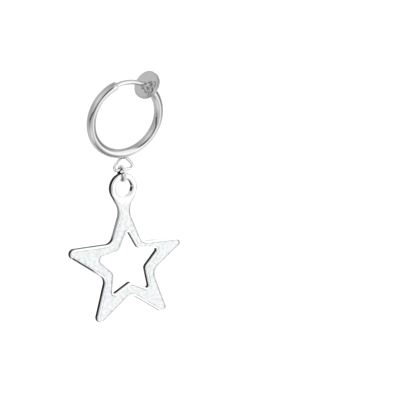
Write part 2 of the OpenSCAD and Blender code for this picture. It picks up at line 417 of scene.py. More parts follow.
# %% Pads
edge_turn = np.linspace(0, np.pi / 2, 7)
edge_r = 0.09
middle_r = 0.05  # of the first ring of points round the disc's middle
rubbed_from, rubbed_w = pad_r - 0.3, 0.25
face_out = np.linspace(middle_r, pad_r - edge_r, 24)
edge_out = pad_r - edge_r + edge_r * np.sin(edge_turn)
edge_up = edge_r * (1 - np.cos(edge_turn))
pad_out = np.concatenate([face_out, edge_out, edge_out[::-1], face_out[::-1]])
pad_up = np.concatenate([0 * face_out, edge_up, pad_t - edge_up[::-1], 0 * face_out + pad_t])
disc = carried_round(pad_out, pad_gap / 2 + pad_up)
out_mark = np.concatenate([np.repeat(pad_out, disc.shape[1]), [0, 0]])
marks = {"out": out_mark, "worn": np.clip((out_mark - rubbed_from) / rubbed_w, 0, 1)}
for name, body, side, slot in (
    ("tube_pad", "hoop", -1, "hoop_steel"),
    ("wire_pad", "slider", 1, "wire_steel"),
):
    seat = from_pads(side)
    points, faces = skin(seat(disc), *(seat(p) for p in end_middles(disc)))
    make_piece(name, points, faces, body, satin_sheet, **marks)

# %% [markdown]
# ## Solder
# Each bar is soldered to its pad. Solder wets the metal and climbs both surfaces, so it
# thins out to nothing in a hollow curve. On the wire's pad it was laid on freely: it ran out
# over one side of the disc and set in lumps. It could be sculpted, but a rule keeps it on
# its pad: it is a film whose height falls from the bar outwards, and whose reach depends
# on the direction.

# %% Lumpy surfaces
def ripple(points, size, seed, waves=40):
    """A gentle, uneven surface, mostly between -1 and 1.

    It is the sum of many sine waves of random direction and start, divided by the root of
    twice their number. Their lengths run from 0.6 to 1.8 times size.
    """
    rng = np.random.default_rng(seed)
    way = rng.uniform(0, 2 * np.pi, waves)
    length = size * rng.uniform(0.6, 1.8, waves)
    k = 2 * np.pi / length * np.stack([np.cos(way), np.sin(way)])
    return np.sin(points @ k + rng.uniform(0, 2 * np.pi, waves)).sum(-1) / np.sqrt(waves * 2)


def smooth_step(x, low, high):
    """0 below low, 1 above high, and 3 t^2 - 2 t^3 between."""
    t = np.clip((x - low) / (high - low), 0, 1)
    return t * t * (3 - 2 * t)


# %% Solder metal
soft_solder, tree, shader, place = new_metal("soft_solder")
lumps = noise(tree, place, 3.4, 4.0)
grain = noise(tree, place, 14.0, 5.0)
skin_of_oxide = span(tree, noise(tree, place, 2.6, 5.0), 0.47, 0.56, 0.0, 0.9)
colour = mixed(tree, skin_of_oxide, (1.0, 1.0, 1.0, 1), (0.30, 0.30, 0.30, 1))
matt = span(tree, grain, 0.3, 0.7, 0.14, 0.3)
matt = math(tree, "ADD", matt, math(tree, "MULTIPLY", skin_of_oxide, 0.1))
height = math(tree, "ADD", lumps, math(tree, "MULTIPLY", grain, 0.12))
finish_with(tree, shader, colour, matt, height, 0.16)
print(f"soft_solder: {len(tree.nodes)} nodes")


# %% Solder round the tube and the wire
def solder_bead(bar_r, spread, height, run_deg=0, run=0.0, lump=0.0, seed=1):
    """Solder round a bar, standing on the pad.

    For t from 0 at the bar to 1 at the film's edge, out = bar_r + reach * t and
    up = height * (1 - t)^4 + film * (1 - t^8). The reach is spread, and more by run within
    about 50 degrees of run_deg. The film itself thins as 1 - t^6, and is lumpy where the
    solder has run. Its first and last rows are sunk, into the bar and into the pad.
    """
    film_t, thinnest, sunk, clear_edge = 0.06, 0.015, 0.05, 0.12
    t = np.concatenate([[0], np.linspace(0, 1, 40), [1]])[:, None]
    u = np.linspace(0, 2 * np.pi, 144, endpoint=False)[None, :]
    away = np.abs((np.degrees(u) - run_deg + 180) % 360 - 180)
    ran = run * (1 - smooth_step(away, 25, 75))
    reach = spread * (1 + 0.12 * np.sin(3 * u + seed) + 0.08 * np.sin(7 * u))
    reach = reach + ran * (1 + 0.05 * np.sin(11 * u))
    reach = np.minimum(bar_r + reach, pad_r - clear_edge) - bar_r
    out = bar_r - sunk + (reach + sunk) * t
    across = np.stack([out * np.cos(u), out * np.sin(u)], -1)
    lumpy = lump * np.clip(ran / (run + 1e-6), 0, 1) * ripple(across, 0.55, seed)
    film = (film_t + lumpy) * (1 - t**6)
    up = height * (1 - t) ** 4 + np.clip(film, thinnest, None) * (1 - t**8)
    up[0], up[-1] = -sunk, -sunk
    return np.stack([across[..., 0] - pad_shift, across[..., 1], pad_gap / 2 + pad_t + up], -1)


tube_bead = solder_bead(tube_r, spread=0.4, height=0.4)
wire_bead = solder_bead(
    wire_r, spread=0.38, height=0.42, run_deg=278, run=1.6, lump=0.05, seed=5
)
for name, body, side, slot, bead in (
    ("tube_solder", "hoop", -1, "hoop_steel", tube_bead),
    ("wire_solder", "slider", 1, "wire_steel", wire_bead),
):
    seat = from_pads(side)
    points, faces = skin(seat(bead), *(seat(p) for p in end_middles(bead)))
    make_piece(name, points, faces, body, soft_solder)


# %% [markdown]
# ## The hanging loop
# A triangle of wire soldered under the hoop. Its centre line is a triangle with rounded
# corners, and a round section is carried along it. A torus pulled into shape would have
# wire of uneven thickness. A path made of arcs and lines keeps it even. The jump ring rubs
# the loop's bottom bright.


# %% Rounded outlines
def offset_corners(corners, inset):
    """Corners of a closed outline moved so that each of its lines goes inwards by inset.

    The outline runs counter-clockwise. With n and m the outward directions of the lines
    before and after a corner, it moves by -inset * (n + m) / (1 + n . m).
    """
    line = np.roll(corners, -1, 0) - corners
    line /= np.linalg.norm(line, axis=1, keepdims=True)
    m = np.stack([line[:, 1], -line[:, 0]], 1)
    n = np.roll(m, 1, 0)
    return corners - inset * (n + m) / (1 + (n * m).sum(1, keepdims=True))


def outline(corners, rounding, inset=0.0, arc=12, straight=20):
    """A closed outline with rounded corners, at an inset, always with the same points in order.

    Each corner becomes an arc that touches both of its lines, and each line between two
    arcs is divided evenly. Going inwards, outer bends tighten and inner bends open.
    """
    at = offset_corners(np.asarray(corners, float), inset)
    before, after = np.roll(at, 1, 0) - at, np.roll(at, -1, 0) - at
    before /= np.linalg.norm(before, axis=1, keepdims=True)
    after /= np.linalg.norm(after, axis=1, keepdims=True)
    bend = after[:, 0] * before[:, 1] - after[:, 1] * before[:, 0]
    r = np.maximum(np.asarray(rounding) - np.sign(bend) * inset, 0.01)[:, None]
    half = np.arccos(np.clip((before * after).sum(1), -1, 1))[:, None] / 2
    bisector = (before + after) / np.linalg.norm(before + after, axis=1, keepdims=True)
    middle = at + bisector * r / np.sin(half)
    first = at + before * r / np.tan(half) - middle
    last = at + after * r / np.tan(half) - middle
    start = np.arctan2(first[:, 1], first[:, 0])[:, None]
    cross = first[:, 0] * last[:, 1] - first[:, 1] * last[:, 0]
    sweep = np.arctan2(cross, (first * last).sum(1))[:, None]
    angle = start + sweep * np.linspace(0, 1, arc + 1)
    arcs = middle[:, None] + r[:, :, None] * np.stack([np.cos(angle), np.sin(angle)], -1)
    share = np.linspace(0, 1, straight + 1)[1:-1, None]
    lines = arcs[:, -1:, :] * (1 - share) + np.roll(arcs, -1, 0)[:, :1, :] * share
    return np.concatenate([arcs, lines], 1).reshape(-1, 2)


# %% A section carried along an outline
def carried_along(path, radius, columns=32):
    """A round section carried along a closed flat path in the XZ plane, and its drawn lines.

    With t the path's direction and n = (t_z, 0, -t_x) across it, the skin is
    path + radius * (cos u * n + sin u * Y). For the drawn lines the length along the path
    is wound to a circle, so that they meet where the path closes.
    """
    t = np.roll(path, -1, 0) - np.roll(path, 1, 0)
    t /= np.linalg.norm(t, axis=1, keepdims=True)
    n = np.stack([t[:, 1], -t[:, 0]], 1)
    u = np.linspace(0, 2 * np.pi, columns, endpoint=False)
    flat = path[:, None, :] + radius * np.cos(u)[None, :, None] * n[:, None, :]
    across = np.broadcast_to(radius * np.sin(u), flat.shape[:2])
    along = np.linspace(0, 2 * np.pi, len(path), endpoint=False)[:, None]
    drawn = np.stack([2 * np.sin(along) + 0 * u, radius * np.cos(u) + 0 * along, across], -1)
    return np.stack([flat[..., 0], across, flat[..., 1]], -1), drawn


# %% Loop
# each side runs the same way as the line from a lower bend's middle to the top bend's
bend_x = (loop_w - 2 * link_r) / 2 - loop_bend_r
bend_rise = loop_h - 2 * link_r - 2 * loop_bend_r
side_way = np.array([-bend_x, bend_rise]) / np.hypot(bend_x, bend_rise)
touch = np.array([bend_x, loop_bend_r]) + loop_bend_r * np.array([side_way[1], -side_way[0]])
foot_x = touch[0] - side_way[0] * touch[1] / side_way[1]
peak_z = touch[1] - side_way[1] * touch[0] / side_way[0]
loop_corners = np.array([[-foot_x, 0], [foot_x, 0], [0, peak_z]])
loop_path = outline(loop_corners, [loop_bend_r] * 3, arc=16, straight=14)
loop_skin, loop_drawn = carried_along(loop_path + [hoop_x, pin_z], link_r)
loop_skin = loop_skin @ turn(lean_deg, "X").T
points, faces = skin(np.concatenate([loop_skin, loop_skin[:1]]))
drawn = np.concatenate([loop_drawn, loop_drawn[:1]]).reshape(-1, 3)
closed_path = np.concatenate([loop_path, loop_path[:1]])
low_down = np.clip(1 - (closed_path[:, 1] - 0.1) / 0.5, 0, 1)  # which the ring rubs
marks = {"drawn": drawn, "worn": np.repeat(low_down, loop_skin.shape[1])}
make_piece("hanging_loop", points, faces, "hoop", plated_wire, **marks)

# %% [markdown]
# The loop's top is soldered into the tube's underside. The solder there is a small drop
# that fills the corner between the loop and the tube. It is a squashed ball, a little
# uneven, because so small a drop shows no more than its outline and its shine.

# %% Solder under the hoop
up_turn = np.linspace(-np.pi / 2, np.pi / 2, 21)[1:-1]
drop = carried_round(np.cos(up_turn), np.sin(up_turn), 48)
around = np.arctan2(drop[..., 1], drop[..., 0])
drop_size = 1 + 0.06 * np.sin(2 * around + 1) + 0.05 * np.sin(3 * around)
drop_reach = [0.95, 0.42, 0.34]
drop_middle = [hoop_x, 0, hoop_z - hoop_r - tube_r + 0.02]
drop = drop * drop_size[..., None] * drop_reach + drop_middle
drop = drop @ turn(lean_deg, "X").T
points, faces = skin(drop, *end_middles(drop))
make_piece("loop_solder", points, faces, "hoop", soft_solder)

# %% [markdown]
# ## The jump ring
# A ring of wire cut once, so that it can be sprung open, put through the loop and the
# charm's eye, and closed. The two cut ends nearly meet, and the cutter's burr is rubbed off.
# A torus has no cut, so the ring is a bent bar that goes almost all the way round.

# %% Jump ring
cut_at, cut_half = 40, 1.5  # degrees
end_r = 0.05
end_turn = np.linspace(0, np.pi / 2, 4)
end_deg = cut_at + cut_half + np.degrees(end_r * np.sin(end_turn) / ring_r)
end_radius = link_r - end_r * np.cos(end_turn) ** 2
round_deg = np.linspace(cut_at + 5, cut_at + 355, 120)
ring_deg = np.concatenate([end_deg, round_deg, 360 + 2 * cut_at - end_deg[::-1]])
ring_radius = np.concatenate([end_radius, np.full(len(round_deg), link_r), end_radius[::-1]])
ring_grid, ring_straight = bent_bar(ring_r, ring_deg, ring_radius, 32)
rubbed = np.abs(np.sin(np.radians(round_deg))) ** 3
ring_worn = np.concatenate([np.ones(len(end_deg)), rubbed, np.ones(len(end_deg))])


def on_ring(points):
    """Turns a ring from the XZ plane to the YZ plane, and moves it to where it hangs."""
    points = np.asarray(points)
    return np.stack([-points[..., 1], points[..., 0], points[..., 2]], -1) + [hang_x, hang_y, ring_z]


jump_ring = bar_piece("split_ring", ring_grid, ring_straight, on_ring, "ring", ring_wire_shaded, ring_worn)
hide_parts("jump_ring")

# %% [markdown]
# ## The star charm
# One casting: a five-pointed star with a smaller star cut out of it, a neck in place of
# its top point, and an eye on the neck. Raised rims run along its edges. The left point is
# a little longer and higher than the others and the right one lower, as on the real one.
# An extruded outline with a Bevel modifier would give the soft edges but not the rims, so
# the edges are sections carried along the outlines, and the faces are filled in after.

# %% The charm's outlines
star_tip_r, star_notch_r = 13.0, 4.96
hole_tip_r, hole_notch_r = 6.12, 3.12
hole_up = 0.4
neck_half_w, neck_z = 0.86, 10.1


def star_corners(numbers, tip_r, notch_r):
    """Corner k of a star is at 90 + 36 k degrees: even ones are points and odd ones notches."""
    k = np.asarray(numbers)
    reach = np.where(k % 2 == 0, tip_r, notch_r)[:, None]
    angle = np.radians(90 + 36 * k)
    return reach * np.stack([np.cos(angle), np.sin(angle)], 1)


neck = np.array([neck_half_w, neck_z - eye_z])
tangent_deg = np.degrees(np.arctan2(neck[1], neck[0]) + np.arccos(eye_out_r / np.hypot(*neck)))
eye_span = (180 - 2 * tangent_deg) / 4
eye_at = np.radians(tangent_deg + eye_span * (np.arange(4) + 0.5))
eye_corner_r = eye_out_r / np.cos(np.radians(eye_span / 2))
eye_corners = eye_corner_r * np.stack([np.cos(eye_at), np.sin(eye_at)], 1) + [-eye_left, eye_z]
star_part = star_corners(range(1, 10), star_tip_r, star_notch_r)
left_notch, left_tip, right_tip = 0, 1, 7
star_part[left_notch] += [-0.3, 0.5]
star_part[left_tip] += [-0.85, 0.85]
star_part[right_tip] += [-0.25, -0.55]
neck_corners = [[[side * neck_half_w - eye_left, neck_z]] for side in (1, -1)]
outer_corners = np.concatenate([star_part, neck_corners[0], eye_corners, neck_corners[1]])
notch_round, tip_round, neck_round = 1.4, 0.9, 3.0
star_rounding = [notch_round, tip_round] * 4 + [notch_round]
neck_rounding = [neck_round] + [eye_out_r - 1e-4] * 4 + [neck_round]
outer_rounding = np.array(star_rounding + neck_rounding)
hole_corners = star_corners(range(10), hole_tip_r, hole_notch_r) + [0, hole_up]
hole_tip_round, hole_notch_round = 0.35, 1.0
hole_rounding = np.array([hole_tip_round, hole_notch_round] * 5)
print("outline corners:", len(outer_corners), "cut-out corners:", len(hole_corners))

# %% [markdown]
# The section that runs along every edge: from the sunk face up to the raised rim, along it,
# round a soft edge, down the wall and round to the back. At the eye it is a plain rounded
# band. Between the two it changes over along the neck, which works because both have the
# same number of rows.


# %% The charm's sections
slope_rows, edge_rows = 8, 8
rim_rows, wall_rows = 3, 10
half_t = charm_t / 2
sunk_depth = 0.13


def section(edge, rim, slope, sink, draft=0.05, back_edge=0.12, total=0.5):
    """One section from the front face to the back face, as rows of inset and height.

    The slope falls by 3 t^2 - 2 t^3 of sink while t goes from 0 at the rim to 1 at its
    foot. The rim's crown is part of a sine wave, and the edges are quarters of a circle.
    """
    bend = np.linspace(np.pi / 2, 0, edge_rows)
    down = np.linspace(1, 0, slope_rows)
    crown = 0.02 * np.sin(np.pi * np.linspace(1, 0, rim_rows + 2))
    front_slope = np.stack([rim + slope * down, half_t - sink * (3 * down**2 - 2 * down**3)], 1)
    front_rim = np.stack([np.linspace(rim, draft + edge, rim_rows + 2), half_t + crown], 1)[1:-1]
    round_in, round_up = 1 - np.cos(bend), np.sin(bend) - 1
    front_edge = np.stack([draft + edge * round_in, half_t + edge * round_up], 1)
    wall_in = np.linspace(draft, 0, wall_rows + 2)
    wall_up = np.linspace(half_t - edge, back_edge - half_t, wall_rows + 2)
    wall = np.stack([wall_in, wall_up], 1)[1:-1]
    back = np.stack([back_edge * round_in, -half_t - back_edge * round_up], 1)[::-1]
    return np.concatenate([front_slope, front_rim, front_edge, wall, back, [[total, -half_t]]])


rim_section = section(edge=0.09, rim=0.34, slope=0.11, sink=sunk_depth)
band_section = section(
    edge=0.26, rim=0.34, slope=0.06, sink=0.0, draft=0.02, back_edge=0.26, total=0.42
)
print("section rows:", len(rim_section), len(band_section))


# %% The charm's edge strips
band_low, band_high = 10.6, 12.6


def with_heights(at, heights):
    """Points (x, z, height) from flat points and one height for each row, or each point."""
    return np.concatenate([at, np.broadcast_to(heights, at.shape[:2] + (1,))], -1)


def edge_strip(corners, rounding, side, arc, straight):
    """The section carried along an outline, with the front face's row first.

    With band running from 0 below the neck's top to 1 at the eye, the section is
    rim_section * (1 - band) + band_section * band. It goes inwards from the outline at
    side 1, and outwards at side -1. The strip comes back as points (x, z, height), with
    its outline, the unit way that each place of it faces, and band.
    """
    flat = outline(corners, rounding, 0, arc, straight)
    keep = np.linalg.norm(flat - np.roll(flat, 1, 0), axis=1) > 1e-3
    flat = flat[keep]
    step = 0.3
    inwards = (outline(corners, rounding, side * step, arc, straight)[keep] - flat) / step
    band = smooth_step(flat[:, 1], band_low, band_high)
    share = band[None, :, None]
    rows = rim_section[:, None, :] * (1 - share) + band_section[:, None, :] * share
    strip = with_heights(flat[None] + rows[..., :1] * inwards[None], rows[..., 1:])
    return strip, flat, -inwards / np.linalg.norm(inwards, axis=1, keepdims=True), band


outer_strip, outer_flat, outer_facing, outer_band = edge_strip(outer_corners, outer_rounding, 1, 14, 26)
hole_strip, hole_flat, hole_facing, hole_band = edge_strip(hole_corners, hole_rounding, -1, 12, 16)
eye_angle = np.linspace(0, 2 * np.pi, 144, endpoint=False)
eye_way = np.stack([np.cos(eye_angle), np.sin(eye_angle)], 1)
eye_inset, eye_height = band_section[:, None, :1], band_section[:, None, 1:]
eye_strip = with_heights((eye_hole_r + eye_inset) * eye_way[None] + [-eye_left, eye_z], eye_height)
strips = [outer_strip, hole_strip, eye_strip]
bands = [outer_band, hole_band, np.ones(len(eye_angle))]
print("points along the edges:", [s.shape[1] for s in strips])

# %% [markdown]
# The walls are painted black as shade, from a little below the front face down. Walls that
# face right are left unshaded, the neck is spared a little of the shade, and the underside
# of the left point is painted black up to its rim. In the eye's hole the lower part and a
# thin streak on its right are left light, as painted highlights.


# %% Which walls are spared the painted shade
def wall_lit_share(flat, facing, band):
    """How much of each place's wall is spared the painted shade, from 0 to 1.

    It is a smooth step of how far the wall faces right, with a little added towards the
    charm's right, and falls to 0 at the eye.
    """
    return smooth_step(facing[:, 0] + 0.02 * flat[:, 0], 0.0, 0.25) * (1 - band)


# the neck is spared a little of the painted shade
on_neck = smooth_step(outer_flat[:, 1], 5.0, 6.2) * (1 - smooth_step(outer_flat[:, 1], 11.0, 12.0))
outer_wall_lit = np.maximum(wall_lit_share(outer_flat, outer_facing, outer_band), 0.2 * on_neck)
hole_wall_lit = wall_lit_share(hole_flat, hole_facing, hole_band)
streak_w = 0.09
# painted highlights: the lower part of the eye's hole and a thin streak on its right are left light
eye_wall_lit = smooth_step(-eye_way[:, 1], 0.45, 0.6) + np.exp(-((eye_angle / streak_w) ** 2))
lit_walls = [outer_wall_lit, hole_wall_lit, np.minimum(eye_wall_lit, 1)]
lower_left = outer_facing @ [-0.5, -0.866]  # 1 where the wall faces down to the left
# painted shade under the left point, up to its rim
under_left_shade = smooth_step(lower_left, 0.86, 0.96) * smooth_step(-outer_flat[:, 0], 6.0, 7.6)
under_shades = [under_left_shade, 0 * hole_wall_lit, 0 * eye_wall_lit]
# clean here means spared the painted shade
print("clean share of the walls:", [round(float(p.mean()), 2) for p in lit_walls])


# %% [markdown]
# The faces between the strips have no natural grid, because a star with two holes isn't a
# strip or a disc. One many-sided face with holes would shade badly. So they are filled with
# evenly spaced points and the triangles that join near neighbours, cut off at the strips.


# %% The charm's faces
def inside(points, loops):
    """Whether each point is inside an odd number of the closed loops."""
    within = np.zeros(len(points), bool)
    for loop in loops:
        a, b = loop, np.roll(loop, -1, 0)
        above = (a[:, 1] > points[:, 1:]) != (b[:, 1] > points[:, 1:])
        with np.errstate(divide="ignore", invalid="ignore"):
            cross = a[:, 0] + (points[:, 1:] - a[:, 1]) * (b[:, 0] - a[:, 0]) / (b[:, 1] - a[:, 1])
        within ^= (above & (points[:, :1] < cross)).sum(1) % 2 == 1
    return within


loops = [s[0, :, :2] for s in strips]
edge_points = np.concatenate(loops)
spacing = 0.14
row_step = 0.866 * spacing  # the height of a triangle with even sides
low, high = edge_points.min(0), edge_points.max(0)
columns_x = np.arange(low[0], high[0], spacing)
rows_z = np.arange(low[1], high[1], row_step)
spot_x, spot_z = np.meshgrid(columns_x, rows_z)
spot_x = spot_x + spacing / 2 * (np.arange(len(rows_z)) % 2)[:, None]
spots = np.stack([spot_x.ravel(), spot_z.ravel()], 1)
spots = spots[inside(spots, loops)]
near = np.sqrt(((spots[:, None] - edge_points[None]) ** 2).sum(-1).min(1))
clear = near > spacing * 0.5
spots, near = spots[clear], near[clear]
print("spots on a face:", len(spots))

# %% The triangles between them
flat = np.concatenate([edge_points, spots])
edges, start = [], 0
for loop in loops:
    number = np.arange(len(loop))
    edges += (np.stack([number, np.roll(number, -1)], 1) + start).tolist()
    start += len(loop)
found = geometry.delaunay_2d_cdt([Vector(p) for p in flat], edges, [], 0, 1e-6)
numbers = np.array([origins[0] if origins else -1 for origins in found[3]])
triangles = numbers[np.array(found[2])]
triangles = triangles[inside(flat[triangles].mean(1), loops)]
print("face triangles:", len(triangles), "new points:", (numbers < 0).sum())

# %% [markdown]
# ### Cast silver
# The star is a plated casting. Its sunk face keeps the mould's skin: a fine grain, small
# pits and cloudy patches a little bluer or greener than silver. The rims and edges were
# polished and are rubbed a little frosted since, with fine scratches. Tarnish collects in
# the corner at the foot of the rims. The walls carry painted shade: matt black, except where
# they face the light. A map painted for each would do this too. Here the place of each finish
# is kept as a mark on the points, and noise breaks up its edges.

# %% Cast silver
cast_silver, tree, shader, place = new_metal("cast_silver")
# the wall mark is painted shade on the walls, black where they face away from the light
sunk, foot, wall = mark(tree, "sunk"), mark(tree, "foot"), mark(tree, "wall")
cloud = noise(tree, place, 0.45, 5.0)
patch = noise(tree, place, 1.7, 4.0)
grain = noise(tree, place, 7.0, 6.0)
mottle = math(tree, "MULTIPLY", patch, 0.6)
mottle = math(tree, "ADD", mottle, math(tree, "MULTIPLY", grain, 0.4))
mottle = span(tree, mottle, 0.42, 0.58, 0.0, 1.0)
bluer = span(tree, cloud, 0.4, 0.6, 0.0, 1.0)
skin_colour = mixed(tree, bluer, (0.75, 0.80, 0.785, 1), (0.78, 0.815, 0.84, 1))
face = mixed(tree, mottle, skin_colour, (0.93, 0.945, 0.95, 1))
duller = span(tree, patch, 0.35, 0.65, 0.0, 1.0)
rim = mixed(tree, duller, (0.99, 0.99, 0.99, 1), (0.96, 0.96, 0.97, 1))
colour = mixed(tree, sunk, rim, face)
tarnish = math(tree, "MULTIPLY", foot, span(tree, patch, 0.3, 0.55, 0.9, 0.1))
colour = mixed(tree, tarnish, colour, (0.46, 0.47, 0.47, 1))
# painted shade: the walls go black
colour = mixed(tree, wall, colour, (0.012, 0.012, 0.013, 1))
print(f"colours of the casting: {len(tree.nodes)} nodes")


# %% Its pits and scratches
def scratches(across):
    """Long thin scratches: noise squeezed by these three factors along X, Y and Z."""
    squeezed = add(tree, "VectorMath", {0: place, 1: across}, operation="MULTIPLY")
    return span(tree, noise(tree, squeezed, 1.0, 2.0), 0.66, 0.74, 0.0, 1.0)


pits = add(tree, "TexVoronoi", {"Vector": place, "Scale": 2.6})
pitted = span(tree, patch, 0.45, 0.6, 0.0, 1.0)
pit = math(tree, "MULTIPLY", span(tree, pits, 0.04, 0.16, 1.0, 0.0), pitted)
scratch = math(tree, "MAXIMUM", scratches((0.5, 1, 11)), scratches((9, 1, 0.7)))
scratch = math(tree, "MULTIPLY", scratch, math(tree, "SUBTRACT", 1.0, wall))
colour = mixed(tree, math(tree, "MULTIPLY", scratch, 0.25), colour, (0.70, 0.71, 0.72, 1))
matt = span(tree, sunk, 0.0, 1.0, 0.17, 0.3)
matt = math(tree, "ADD", matt, span(tree, grain, 0.35, 0.65, -0.03, 0.06))
matt = math(tree, "ADD", matt, math(tree, "MULTIPLY", scratch, 0.1))
relief = math(tree, "MULTIPLY", grain, span(tree, sunk, 0.0, 1.0, 0.12, 0.55))
relief = math(tree, "SUBTRACT", relief, math(tree, "MULTIPLY", pit, 0.8))
relief = math(tree, "SUBTRACT", relief, math(tree, "MULTIPLY", scratch, 0.12))
# the painted shade on the walls is matt black, with no metal and little specular there
bloom = math(tree, "MAXIMUM", wall, span(tree, sunk, 0.0, 1.0, 0.28, 0.07))
tree.links.new(span(tree, wall, 0.0, 1.0, 0.5, 0.08), shader.inputs["Specular IOR Level"])
finish_with(tree, shader, colour, matt, relief, 0.014, bloom)
print(f"cast_silver: {len(tree.nodes)} nodes")

# %% Where each finish is along the section
rim_shade_starts, band_shade_starts = 0.28, 0.08  # how deep below the front the painted shade on the wall begins
rim_shade_full, band_shade_full = 0.34, 0.16  # and how deep the painted shade is full black
tarnish_up, tarnish_in = 0.06, 0.07  # how far it reaches up the slope and over the face
rows = np.arange(len(rim_section))
on_slope = rows < slope_rows
foot_inset = rim_section[0, 0]
row_sunk = np.clip((half_t - rim_section[:, 1]) / sunk_depth, 0, 1) * on_slope
row_foot = np.exp(-(((rim_section[:, 0] - foot_inset) / tarnish_up) ** 2)) * on_slope
first_edge_row = slope_rows + rim_rows
first_wall_row = first_edge_row + edge_rows
below = (rows >= first_edge_row) * (rows < rows[-1])
# painted shade down the wall, from where it begins to full black
rim_wall_shade = below * smooth_step(half_t - rim_section[:, 1], rim_shade_starts, rim_shade_full)
band_wall_shade = below * smooth_step(half_t - band_section[:, 1], band_shade_starts, band_shade_full)
row_edge = (rows > slope_rows) * (rows <= first_wall_row) * 1.0
shaded_wall_rows = [int((w > 0).sum()) for w in (rim_wall_shade, band_wall_shade)]
print("rows of wall at the rims and at the eye:", shaded_wall_rows)

# %% [markdown]
# ### One casting
# The strips and the two faces become one mesh. They could stay separate objects, but a
# casting has no seams, and the shading runs smoothly only over faces that share their
# points. So the faces use the points of the strips' first and last rows, and every point
# gets its three marks: how far it is sunk, how near the foot of a rim it is, and how much
# painted shade its wall carries.

# %% Put the strips together
blocks, all_faces, count = [], [], 0
marks = {"sunk": [], "foot": [], "wall": []}
front_numbers, back_numbers = [], []
for strip, band, wall_lit, under in zip(strips, bands, lit_walls, under_shades):
    grid = np.stack([strip[..., 0], -strip[..., 2], strip[..., 1]], -1)
    points, faces = skin(grid)
    blocks.append(points)
    all_faces += (np.array(faces) + count).tolist()
    columns = strip.shape[1]
    front_numbers.append(count + np.arange(columns))
    back_numbers.append(count + (len(strip) - 1) * columns + np.arange(columns))
    marks["sunk"].append((row_sunk[:, None] * (1 - band)).ravel())
    marks["foot"].append((row_foot[:, None] * (1 - band)).ravel())
    # painted shade on the walls, left off where the wall is lit; the left point's underside is painted
    # black
    row_wall_shade = rim_wall_shade[:, None] * (1 - band) + band_wall_shade[:, None] * band
    row_wall_shade = np.maximum(row_wall_shade * (1 - wall_lit), row_edge[:, None] * under[None])
    marks["wall"].append(row_wall_shade.ravel())
    count += len(points)
print("points in the strips:", count)

# %% Add the faces
spot_sunk = 1 - smooth_step(spots[:, 1], band_low, band_high)
spot_foot = np.exp(-((near / tarnish_in) ** 2)) * spot_sunk
for height, strip_numbers, front in (
    (half_t - sunk_depth * spot_sunk, front_numbers, 1),
    (-half_t + 0 * spot_sunk, back_numbers, 0),
):
    blocks.append(np.stack([spots[:, 0], -height, spots[:, 1]], 1))
    lookup = np.concatenate(strip_numbers + [count + np.arange(len(spots))])
    all_faces += lookup[triangles].tolist()
    marks["sunk"].append(spot_sunk * front)
    marks["foot"].append(spot_foot * front)
    marks["wall"].append(0 * spot_sunk)
    count += len(spots)
marks = {key: np.concatenate(values) for key, values in marks.items()}
print("points in all:", count)

# %% Star
# nothing cast is quite flat: a wide wave goes over all of it, and a shorter one over the face
charm_points = np.concatenate(blocks)
wide_wave = 0.006 * ripple(charm_points[:, ::2], 1.9, 3)
short_wave = 0.008 * marks["sunk"] * ripple(charm_points[:, ::2], 0.6, 4)
charm_points[:, 1] += wide_wave + short_wave
charm_points += [hoop_x, hang_y, star_z]
charm = make_piece("star_casting", charm_points, all_faces, "charm", cast_silver, **marks)
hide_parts("star_charm")

# %% [markdown]
# ## Camera
# The camera stands to the left of the star's front and a little above it, far away, with a
# long lens, as small jewellery is often photographed. The view is placed by the hoop's
# middle in the picture.

# %% Camera
view_azimuth, view_elevation, view_roll = -27.3, 12.9, 3.3
view_distance = 1000.0
pixels_per_mm = 5.826
picture = 400
hoop_pixel = np.array([124.92, 117.78])
hoop_middle = on_hoop(np.zeros(3))
a, e = np.radians([view_azimuth, view_elevation])
back = np.array([np.sin(a) * np.cos(e), -np.cos(a) * np.cos(e), np.sin(e)])
right = np.array([np.cos(a), np.sin(a), 0])
up = np.cross(back, right)
facing = Matrix(np.stack([right, up, back], 1).tolist()) @ Matrix.Rotation(np.radians(-view_roll), 3, "Z")
focal = pixels_per_mm * view_distance
ray = Vector((hoop_pixel[0] - picture / 2, picture / 2 - hoop_pixel[1], -focal)).normalized()
aim = Vector((0, 0, -1)).rotation_difference(ray).to_matrix()
camera_data = bpy.data.cameras.new("camera")
camera_data.sensor_width = 36
camera_data.lens = focal / picture * camera_data.sensor_width
camera_data.clip_start, camera_data.clip_end = 0.01, 60
camera = bpy.data.objects.new("camera", camera_data)
bpy.context.scene.collection.objects.link(camera)
camera_place = Matrix.Translation(Vector(hoop_middle * MM) + Vector(back) * view_distance * MM)
camera.matrix_world = camera_place @ (facing @ aim.transposed()).to_4x4()
bpy.context.scene.camera = camera
print(f"lens {camera_data.lens:.0f} mm at {view_distance:.0f} mm")

# %% [markdown]
# ## Studio
# Bright metal shows the room it is in, so the room is most of the picture. A real room
# could be built of lamps and cards. Here it is a white tent with soft oval panels, worked
# out from the direction alone, which renders fast and clean. Only shiny surfaces see these
# tones. The background is plain white.

# %% Tent
scene = bpy.context.scene
scene.view_settings.view_transform = "Standard"
scene.world = bpy.data.worlds.new("studio")
scene.world.use_nodes = True
tent = scene.world.node_tree
toward = add(tent, "TexCoord", {}, "Generated")
axes = np.stack([right, up, back], 1)


def seen_at(x_deg, y_deg):
    """The direction that is x_deg to the right of the camera and y_deg above it."""
    off = np.hypot(x_deg, y_deg)
    flat = np.sin(np.radians(off)) * np.array([x_deg, y_deg]) / max(off, 1e-6)
    return axes @ [*flat, np.cos(np.radians(off))]


def along(direction):
    """How far the seen direction runs along this one, which need not be of length 1."""
    return add(tent, "VectorMath", {0: toward, 1: tuple(direction)}, "Value", operation="DOT_PRODUCT")


